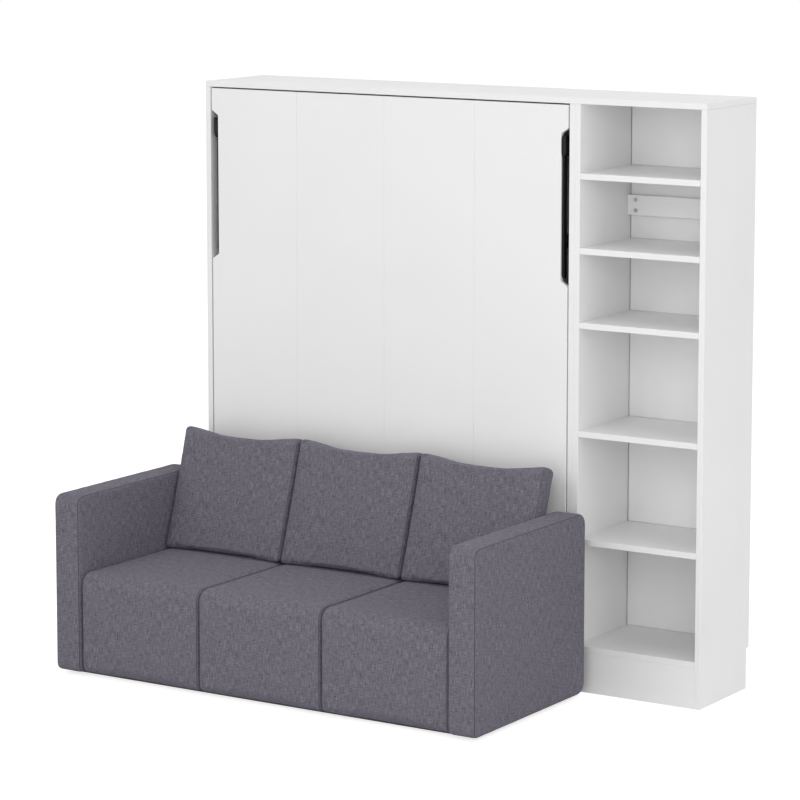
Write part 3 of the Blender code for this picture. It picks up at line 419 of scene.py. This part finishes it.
shelfLevels = ["shelf_bottom", "top_panel"] + ["shelf_board_%d" % number for number in range(1, 6)]
# painted shade along the joints where the shelves and sides meet the shelf back: its places, width, dark core
# and tone
shelfJointShade = {
    "upright": [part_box("shelf_side_left")[1][0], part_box("shelf_side_right")[0][0]],
    "level": [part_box(name)[end][2] for end in (0, 1) for name in shelfLevels],
    "middle": (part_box("shelf_back")[0][1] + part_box("shelf_back")[1][1]) / 2,
    "width": 0.005, "coreShare": 0.4,           # the dark core, as a share of the line's width
    "levelShare": 0.4, "tone": (150, 150, 150),
}
# the shelf back: its board finish with the painted joint shade laid over it
shelfBackWithPaintedShade = boardFinish("shelfBackWithPaintedShade", *thinBoard)
nodes["shelf_back"].material_slots[0].material = paintedJointShade(shelfBackWithPaintedShade, shelfJointShade)
print("finishes made,", len(finishes) + 1)


# Soft forms

def nodeSpan(name):
    low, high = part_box(name)
    return Vector(low), Vector(high)


def fitted(plan, node, **changes):
    # the plan of a soft piece, with the measures of the solid it stands for where it has none of its own
    low, high = nodeSpan(node)
    return {
        "half": (high.x - low.x) / 2, "depth": high.y - low.y, "low": low.z, "high": high.z,
        "middle": (low.x + high.x) / 2, "front": low.y, **plan, **changes}


def standing(form):
    return Matrix.Translation((form["middle"], form["front"], 0))


def gridBox(form):
    # an even grid over a box; its weave map runs on round the front, the top and the back
    half, depth, low, high = (form[key] for key in ("half", "depth", "low", "high"))
    size = Vector((2 * half, depth, high - low))
    mesh = bmesh.new()
    bmesh.ops.create_cube(mesh, size=1)
    bmesh.ops.scale(mesh, vec=size, verts=mesh.verts)
    bmesh.ops.translate(mesh, vec=(0, depth / 2, (low + high) / 2), verts=mesh.verts)
    for axis in range(3):
        along = [edge for edge in mesh.edges
                 if abs((edge.verts[0].co - edge.verts[1].co)[axis]) > size[axis] * 0.9]
        cuts = max(1, round(size[axis] / form["cell"]) - 1)
        bmesh.ops.subdivide_edges(mesh, edges=along, cuts=cuts, use_grid_fill=True)
    mesh.verts.layers.float.new("seam")
    weave = mesh.loops.layers.uv.new("weave")
    for face in mesh.faces:
        for loop in face.loops:
            spot = loop.vert.co
            if abs(face.normal.x) > 0.5:
                loop[weave].uv = (spot.y, spot.z)
            elif face.normal.y < -0.5:
                loop[weave].uv = (spot.x, spot.z)
            elif face.normal.z > 0.5:
                loop[weave].uv = (spot.x, high + spot.y)
            elif face.normal.y > 0.5:
                loop[weave].uv = (spot.x, high + depth + (high - spot.z))
            else:
                loop[weave].uv = (spot.x, low - spot.y)
    return mesh


def sideArris(mesh, half):
    # the edges round the two sides of the box, where its seams run
    outer = [edge for edge in mesh.edges if all(abs(vert.co.x) > half - tiny for vert in edge.verts)]
    return [edge for edge in outer
            if len([face for face in edge.link_faces if abs(face.normal.x) > 0.5]) == 1]


def roundedPlace(spot, form):
    # where a point of the box lies on the rounded form: the side edges first, then the outline's corners
    half, depth, low, high, edge = (form[key] for key in ("half", "depth", "low", "high", "edge"))
    reachY, reachZ = depth / 2, (high - low) / 2
    y, z = spot.y - reachY, spot.z - (low + high) / 2
    inward = min(reachY - abs(y), reachZ - abs(z))
    out, down = max(0.0, abs(spot.x) - (half - edge)), max(0.0, edge - inward)
    x = spot.x
    if out > 0 and down > 0:
        squeeze = max(out, down) / hypot(out, down)
        x = (half - edge + out * squeeze) * (1 if spot.x > 0 else -1)
        newInward = edge - down * squeeze
        y *= (reachY - newInward) / (reachY - inward)
        z *= (reachZ - newInward) / (reachZ - inward)
    radius = form["corners"][(z > 0) * 2 + (y > 0)]       # front low, rear low, front top, rear top
    pastY, pastZ = abs(y) - (reachY - radius), abs(z) - (reachZ - radius)
    if pastY > 0 and pastZ > 0:
        squeeze = max(pastY, pastZ) / hypot(pastY, pastZ)
        y = (reachY - radius + pastY * squeeze) * (1 if y > 0 else -1)
        z = (reachZ - radius + pastZ * squeeze) * (1 if z > 0 else -1)
    return Vector((x, y + reachY, z + (low + high) / 2))


filling = {"quality": 4, "stiffness": 12, "steps": 20}


def puff(mesh, seams, form):
    # the filling presses out against the cover, which is held along its seams
    if not form["puff"]:
        return
    mesh.verts.index_update()
    trial = bpy.data.meshes.new("puffTrial")
    mesh.to_mesh(trial)
    body = bpy.data.objects.new("puffTrial", trial)
    bpy.context.scene.collection.objects.link(body)
    held = body.vertex_groups.new(name="held")
    held.add([vert.index for vert in mesh.verts if vert in seams], 1.0, "ADD")
    cloth = body.modifiers.new("Cloth", "CLOTH")
    settings = cloth.settings
    settings.quality = filling["quality"]
    settings.use_pressure = True
    settings.uniform_pressure_force = form["pressure"]
    settings.tension_stiffness = settings.compression_stiffness = filling["stiffness"]
    settings.bending_stiffness = form["bending"]
    settings.shrink_min = -form["slack"]
    settings.vertex_group_mass = "held"
    settings.effector_weights.gravity = 0
    cloth.collision_settings.use_collision = False
    scene = bpy.context.scene
    for step in range(1, filling["steps"] + 1):
        scene.frame_set(step)
    blown = body.evaluated_get(bpy.context.evaluated_depsgraph_get()).to_mesh()
    for vert in mesh.verts:
        shift = blown.vertices[vert.index].co - vert.co
        if shift.length > form["puff"]:
            shift *= form["puff"] / shift.length
        vert.co += shift
    scene.frame_set(1)
    bpy.data.objects.remove(body)
    bpy.data.meshes.remove(trial)


def keepInside(mesh, place, node, proud=()):
    # no point passes the solid of the part, except a little on the sides that face free space
    solid = nodes[node].data
    tree = BVHTree.FromPolygons([v.co for v in solid.vertices], [p.vertices for p in solid.polygons])
    back = place.inverted()
    for vert in mesh.verts:
        spot = place @ vert.co
        near, normal, index, distance = tree.find_nearest(spot)
        outside = (spot - near).dot(normal)
        if outside > 0:
            allowed = max([0.0] + [
                amount * max(0.0, normal.dot(Vector(way))) for way, amount, above in proud if spot.z > above])
            if distance > allowed:
                vert.co = back @ (near + (spot - near).normalized() * allowed)


def sewSeam(mesh, seamEdges, width, sink, darkness=1.0):
    # a narrow valley along a seam, or with a negative sink a welt, and a mark for its darker colour: the
    # thread, and on the sofa also painted shade in the gaps between its pieces
    line = {vert for edge in seamEdges for vert in edge.verts}
    places = KDTree(len(line))
    for number, vert in enumerate(line):
        places.insert(vert.co, number)
    places.balance()
    made = bmesh.ops.bevel(
        mesh, geom=seamEdges, offset=width, offset_type="OFFSET", segments=2, profile=0.5,
        affect="EDGES", material=-1)
    mesh.normal_update()
    mark = mesh.verts.layers.float["seam"]
    onLine = width * 0.75                       # the bevel's outer rows lie further from the seam
    for vert in made["verts"]:
        if places.find(vert.co)[2] < onLine:
            vert.co -= vert.normal * sink
            vert[mark] = darkness


def finishPiece(name, mesh, body, slotName, replaced, smooth=True):
    data = bpy.data.meshes.new(name)
    mesh.to_mesh(data)
    mesh.free()
    data.materials.append(finishes[slotName])
    for polygon in data.polygons:
        polygon.use_smooth = smooth
    piece = bpy.data.objects.new(name, data)
    bpy.context.scene.collection.objects.link(piece)
    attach(piece, body)
    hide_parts(*replaced)
    return piece


dentPattern = {"broad": 7, "fine": 19, "fineShare": 0.5}


def upholster(name, form, place, shape, body, node):
    # a padded piece from its box, in its own upright frame, then set in place
    mesh = gridBox(form)
    arris = sideArris(mesh, form["half"])
    seams = {vert for edge in arris for vert in edge.verts}
    for vert in mesh.verts:
        vert.co = shape(roundedPlace(vert.co, form), form)
    mesh.normal_update()
    for vert in mesh.verts:
        vert.co -= vert.normal * form["tight"]
    puff(mesh, seams, form)
    mesh.normal_update()
    seed = Vector(form["seed"])
    for vert in mesh.verts:
        if vert not in seams:
            dent = noise.noise(vert.co * dentPattern["broad"] + seed)
            dent += dentPattern["fineShare"] * noise.noise(vert.co * dentPattern["fine"] + seed)
            vert.co += vert.normal * dent * form["dents"]
    keepInside(mesh, place, node, form["proud"])
    sewSeam(mesh, arris, form["seamWidth"], form["seamSink"], form["seamShade"])
    bmesh.ops.transform(mesh, matrix=place, verts=mesh.verts)
    piece = finishPiece(name, mesh, body, "sofa_fabric", [node])
    smoother = piece.modifiers.new("Subdivision", "SUBSURF")
    smoother.levels = smoother.render_levels = 1
    return piece


# Sofa

armForm = {
    # the corners of an outline are front low, rear low, front top, rear top
    "corners": (0.026, 0.046, 0.038, 0.046), "edge": 0.010, "cell": 0.012,
    "tight": 0.0010, "puff": 0.0030, "pressure": 3, "bending": 2.0, "slack": 0.004,
    "dents": 0.0009, "proud": (),
    "seamWidth": 0.0014, "seamSink": 0.0020, "seamShade": 1.0, "fill": 1.0,
}


def plainShape(spot, form):
    return spot


for number, side in enumerate(("left", "right")):
    node = "arm_" + side
    form = fitted(armForm, node, seed=(number * 9, 0, 0))
    upholster("armCover_" + side, form, standing(form), plainShape, "cabinet_and_sofa", node)
print("arms covered")

seatForm = {
    "high": 0.398, "corners": (0.030, 0.014, 0.048, 0.014), "edge": 0.014, "cell": 0.012,
    # the crown starts behind the front edge, and reaches down a little below the top
    "crown": 0.006, "crownFrom": 0.048, "crownBelow": 0.05, "crownOver": 0.045,
    "tight": 0.0020, "puff": 0.009, "pressure": 4, "bending": 1.0, "slack": 0.010,
    "dents": 0.0012, "proud": (),
    "seamWidth": 0.0016, "seamSink": 0.0018, "seamShade": 0.65, "fill": 0.9,
}


def seatShape(spot, form):
    # the top rises in its middle, and the rest stays
    share = spot.x / form["half"]
    across = 1 - share ** 4
    back = min(1.0, max(0.0, (form["depth"] - spot.y) / (form["depth"] - form["crownFrom"])))
    if spot.z > form["high"] - form["crownBelow"]:
        lift = min(1.0, (spot.z - form["high"] + form["crownBelow"]) / form["crownOver"])
        return spot + Vector((0, 0, form["crown"] * across * sin(pi * back) * lift))
    return spot


for number, side in enumerate(("left", "middle", "right")):
    node = "seat_" + side
    form = fitted(seatForm, node, seed=(3, number * 7, 2))
    upholster("seatCover_" + side, form, standing(form), seatShape, "cabinet_and_sofa", node)
print("seats covered")

cushionForm = {
    "low": 0.0, "high": 0.481, "depth": 0.079, "lean": 17.5, "foot": (-0.0855, 0.4017),
    "corners": (0.016, 0.016, 0.020, 0.022), "edge": 0.013, "cell": 0.0085,
    "pinch": 0.003, "dip": 0.010, "draw": 0.003, "crown": 0.006,
    "fullBack": 0.007, "fullFrom": 0.24, "fullOver": 0.1,      # the last two as shares of its height
    "tight": 0.0008, "puff": 0.012, "pressure": 5, "bending": 0.6, "slack": 0.016,
    "dents": 0.0014, "seamWidth": 0.0015, "seamSink": 0.0018, "seamShade": 0.65,
    "fill": 0.8, "squashPlane": 0.045,
    # which way it may stand proud of its solid, how far, and above what height
    "proud": (
        ((0, -0.954, 0.301), 0.004, 0.0),
        ((0, 0.954, -0.301), 0.009, 0.505),
        ((0, 0.301, 0.954), 0.003, 0.7),
    ),
}


def cushionShape(spot, form):
    # full in the middle, thin at the seams, with high corners and a dip between them
    share, rise = spot.x / form["half"], spot.z / form["high"]
    middle = (1 - share ** 4) * (1 - (2 * rise - 1) ** 4)
    through = spot.y / form["depth"]
    y = spot.y + (1 - through) * (form["pinch"] * (1 - middle) - form["crown"] * middle)
    y += through * form["fullBack"] * min(1.0, max(0.0, (rise - form["fullFrom"]) / form["fullOver"]))
    z = spot.z - form["dip"] * (1 - share ** 2) * max(0.0, rise) ** 3
    x = spot.x - form["draw"] * sin(pi * min(1.0, max(0.0, rise))) * share ** 3
    return Vector((x, y, z))


for number, side in enumerate(("left", "middle", "right")):
    node = "back_cushion_" + side
    form = fitted(cushionForm, node, seed=(1, 5, number * 6))
    place = Matrix.Translation((form["middle"], *form["foot"]))
    place = place @ Matrix.Rotation(-radians(form["lean"]), 4, "X")
    cushion = upholster("backCushion_" + side, form, place, cushionShape, "cushion_" + side, node)
    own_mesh(cushion)
print("back cushions filled")

lowBackForm = {
    **armForm, "corners": (0.014, 0.014, 0.015, 0.015), "edge": 0.007, "cell": 0.014,
    "tight": 0.0006, "puff": 0.0, "dents": 0.0004, "seed": (2, 2, 2),
}
form = fitted(lowBackForm, "sofa_low_back")
upholster("lowBackCover", form, standing(form), plainShape, "cabinet_and_sofa", "sofa_low_back")
print("low back covered")


# Mattress

mattressForm = {
    "edge": 0.020, "corners": (0.030, 0.030, 0.030, 0.030), "cell": 0.0125,
    "tight": 0.0030, "panelShare": 0.3, "borderShare": 0.6,    # how much of it each side draws in by
    "quiltPitch": 0.16, "quiltDepth": 0.006, "quiltFullness": 0.45, "quiltMargin": 0.03,
    "weltWidth": 0.0035, "weltRise": 0.0022,
}


def quilted(flat, form):
    # diamond quilting on the two big panels, and a border that is drawn in between them
    spot = roundedPlace(flat, form)
    if abs(flat.x) > form["half"] - tiny:
        turned = ((flat.y + flat.z) / form["quiltPitch"], (flat.y - flat.z) / form["quiltPitch"])
        bulge = abs(sin(pi * turned[0]) * sin(pi * turned[1])) ** form["quiltFullness"]
        inward = min(flat.y, form["depth"] - flat.y, flat.z - form["low"], form["high"] - flat.z)
        fade = min(1.0, inward / form["quiltMargin"])
        side = 1 if spot.x > 0 else -1
        spot.x -= side * (form["quiltDepth"] * (1 - bulge * fade) + form["tight"] * form["panelShare"])
    else:
        inside = 1 if spot.y < form["depth"] / 2 else -1
        spot.y += inside * form["tight"] * form["borderShare"]
    return spot


low, high = nodeSpan("mattress")
form = dict(mattressForm, half=(high.y - low.y) / 2, depth=high.x - low.x, low=low.z, high=high.z)
# its own x runs through the thickness and its own y across the bed
place = Matrix(((0, 1, 0, low.x), (1, 0, 0, (low.y + high.y) / 2), (0, 0, 1, 0), (0, 0, 0, 1)))
mesh = gridBox(form)
arris = sideArris(mesh, form["half"])
for vert in mesh.verts:
    vert.co = quilted(vert.co, form)
keepInside(mesh, place, "mattress")
sewSeam(mesh, arris, form["weltWidth"], -form["weltRise"])
bmesh.ops.transform(mesh, matrix=place, verts=mesh.verts)
bmesh.ops.recalc_face_normals(mesh, faces=mesh.faces)
piece = finishPiece("quiltedMattress", mesh, "bed", "mattress_fabric", ["mattress"])
print("mattress quilted")


# Mattress straps

strapForm = {"thick": 0.0018, "bend": 0.010, "sideSteps": 6, "backSteps": 40}


def strapRoute(low, high):
    # seen from above: back along one side of the mattress, round a bend, across its back, and mirrored
    inner, corner = strapForm["thick"] / 2, strapForm["bend"]
    left, right, back = low.x + inner, high.x - inner, high.y - inner
    sideSteps, backSteps = strapForm["sideSteps"], strapForm["backSteps"]
    steps = range(1, sideSteps + 1)
    route = [Vector((left, low.y, 0))]
    route += [Vector((left, low.y + (back - corner - low.y) * step / sideSteps, 0)) for step in steps]
    turns = [step * pi / (2 * sideSteps) for step in steps]
    route += [Vector((left + corner * (1 - cos(turn)), back - corner * (1 - sin(turn)), 0)) for turn in turns]
    mirrored = [Vector((left + right - spot.x, spot.y, 0)) for spot in reversed(route)]
    across = right - left - 2 * corner
    route += [Vector((left + corner + across * step / backSteps, back, 0)) for step in range(1, backSteps)]
    return route + mirrored


for name in ("lower", "upper"):
    low, high = nodeSpan("mattress_strap_" + name)
    route = strapRoute(low, high)
    mesh = bmesh.new()
    weave = mesh.loops.layers.uv.new("weave")
    ends = [mesh.verts.new(route[0] + Vector((0, 0, height))) for height in (low.z, high.z)]
    edge = mesh.edges.new(ends)
    travelled = 0.0
    for before, after in zip(route, route[1:]):
        made = bmesh.ops.extrude_edge_only(mesh, edges=[edge])["geom"]
        fresh = [item for item in made if isinstance(item, bmesh.types.BMVert)]
        bmesh.ops.translate(mesh, vec=after - before, verts=fresh)
        face = [item for item in made if isinstance(item, bmesh.types.BMFace)][0]
        step = (after - before).length
        for loop in face.loops:
            along = travelled + (step if loop.vert in fresh else 0.0)
            loop[weave].uv = (along, loop.vert.co.z)
        travelled += step
        edge = [item for item in made
                if isinstance(item, bmesh.types.BMEdge) and all(vert in fresh for vert in item.verts)][0]
    bmesh.ops.recalc_face_normals(mesh, faces=mesh.faces)
    piece = finishPiece("strapBand_" + name, mesh, "bed", "strap_webbing", ["mattress_strap_" + name])
    thicken = piece.modifiers.new("Solidify", "SOLIDIFY")
    thicken.thickness, thicken.offset = strapForm["thick"], 0.0
print("straps laid")


# Wall rail fittings

railFitting = {
    "headHeight": 0.0022, "shankRadius": 0.0021, "sides": 40, "edge": 0.0004,
    # from the rim inward: how wide each ring is and how far it goes down
    "rings": ((0.0012, 0.0), (0.0004, 0.0006), (0.0005, -0.0006), (0.0022, 0.0), (0.0003, 0.0009)),
}
for name in ("lower", "upper"):
    # a round head with a groove inside its rim and a socket, on a plain shank
    low, high = nodeSpan("wall_rail_screw_" + name)
    radius, headHeight = (high.z - low.z) / 2, railFitting["headHeight"]
    mesh = bmesh.new()
    bmesh.ops.create_circle(mesh, cap_ends=True, radius=radius, segments=railFitting["sides"])
    back = mesh.faces[:][0]
    made = bmesh.ops.extrude_face_region(mesh, geom=[back])["geom"]
    face = [item for item in made if isinstance(item, bmesh.types.BMFace)][0]
    bmesh.ops.translate(mesh, vec=(0, 0, headHeight), verts=face.verts)
    rim = list(face.edges)
    for width, sink in railFitting["rings"]:
        bmesh.ops.inset_individual(mesh, faces=[face], thickness=width)
        bmesh.ops.translate(mesh, vec=(0, 0, -sink), verts=face.verts)
    bmesh.ops.inset_individual(mesh, faces=[back], thickness=radius - railFitting["shankRadius"])
    shank = bmesh.ops.extrude_discrete_faces(mesh, faces=[back])["faces"][0]
    bmesh.ops.translate(mesh, vec=(0, 0, -(high.y - low.y - headHeight)), verts=shank.verts)
    bmesh.ops.bevel(
        mesh, geom=rim, offset=railFitting["edge"], segments=2, profile=0.5, affect="EDGES", material=-1)
    middle = (low + high) / 2
    place = Matrix.Translation((middle.x, low.y + headHeight, middle.z))
    place = place @ Matrix.Rotation(pi / 2, 4, "X")
    bmesh.ops.transform(mesh, matrix=place, verts=mesh.verts)
    bmesh.ops.recalc_face_normals(mesh, faces=mesh.faces)
    finishPiece("railFitting_" + name, mesh, "cabinet_and_sofa", "zinc_plate",
                ["wall_rail_screw_" + name], False)
print("rail fittings turned")


# Stage, light and camera

studio = {
    "floorReach": 30, "floorTone": (0.80, 0.80, 0.80, 1), "floorRoughness": 0.9, "floorGlow": 0.72,
    "white": (1, 1, 1, 1), "sky": 0.46,
    "lamps": [
        # where it hangs, where it points, its side in metres, its watts
        ((-2.2, -7.6, 4.4), (0, 0.2, 1.0), 4.0, 104),
        ((4.9, -7.3, 4.4), (-0.3, 0.2, 1.0), 3.0, 112),
        ((7.5, -1.5, 3.0), (0, 0, 1.0), 5.0, 128),
        ((0.0, 0.0, 7.0), (0, 0, 0), 6.0, 98),
        ((1.8, -7.0, 1.0), (0.3, 0.2, 0.7), 3.0, 72),
    ],
    # the camera looks down and to the left, in degrees
    "cameraSpot": (6.4266, -10.0251, 3.0593), "lookDown": 7.868, "lookLeft": 32.648,
    "lens": 147.81, "sensor": 36, "shift": -0.12, "clip": (0.1, 100),
}


def seenDirectly(tree):
    # 1 for what the camera sees, and for what metal and glass show of it
    rays = put(tree, "LightPath").outputs
    shown = calc(tree, "MAXIMUM", rays["Is Glossy Ray"], rays["Is Transmission Ray"])
    return calc(tree, "MAXIMUM", rays["Is Camera Ray"], shown)


def makeStage():
    mesh = bmesh.new()
    bmesh.ops.create_grid(mesh, x_segments=1, y_segments=1, size=studio["floorReach"])
    data = bpy.data.meshes.new("studioFloor")
    mesh.to_mesh(data)
    mesh.free()
    floor = bpy.data.objects.new("studioFloor", data)
    bpy.context.scene.collection.objects.link(floor)
    material, tree, shader = newFinish("studioFloor", studio["floorRoughness"])
    shader.inputs["Base Color"].default_value = studio["floorTone"]
    shader.inputs["Specular IOR Level"].default_value = 0.0
    shader.inputs["Emission Color"].default_value = studio["white"]
    glow = calc(tree, "MULTIPLY", seenDirectly(tree), studio["floorGlow"])
    tree.links.new(glow, shader.inputs["Emission Strength"])
    data.materials.append(material)


def makeWorld():
    world = bpy.data.worlds.new("studioSky")
    bpy.context.scene.world = world
    world.use_nodes = True
    tree = world.node_tree
    background = tree.nodes["Background"]
    background.inputs["Color"].default_value = studio["white"]
    strength = ranged(tree, seenDirectly(tree), 0, 1, studio["sky"], 1.0)
    tree.links.new(strength, background.inputs["Strength"])


def makeLamps():
    for number, (spot, target, size, power) in enumerate(studio["lamps"]):
        lamp = bpy.data.lights.new("studioLamp%d" % (number + 1), "AREA")
        lamp.shape, lamp.size, lamp.energy = "SQUARE", size, power
        holder = bpy.data.objects.new(lamp.name, lamp)
        holder.location = spot
        holder.rotation_euler = (Vector(target) - Vector(spot)).to_track_quat("-Z", "Y").to_euler()
        bpy.context.scene.collection.objects.link(holder)


def makeCamera():
    lens = bpy.data.cameras.new("studioCamera")
    lens.lens, lens.sensor_width, lens.shift_y = studio["lens"], studio["sensor"], studio["shift"]
    lens.clip_start, lens.clip_end = studio["clip"]
    holder = bpy.data.objects.new("studioCamera", lens)
    holder.location = studio["cameraSpot"]
    holder.rotation_euler = (radians(90 - studio["lookDown"]), 0, radians(studio["lookLeft"]))
    bpy.context.scene.collection.objects.link(holder)
    bpy.context.scene.camera = holder


makeStage()
makeWorld()
makeLamps()
makeCamera()
bpy.context.scene.view_settings.view_transform = "Standard"
print("stage set")
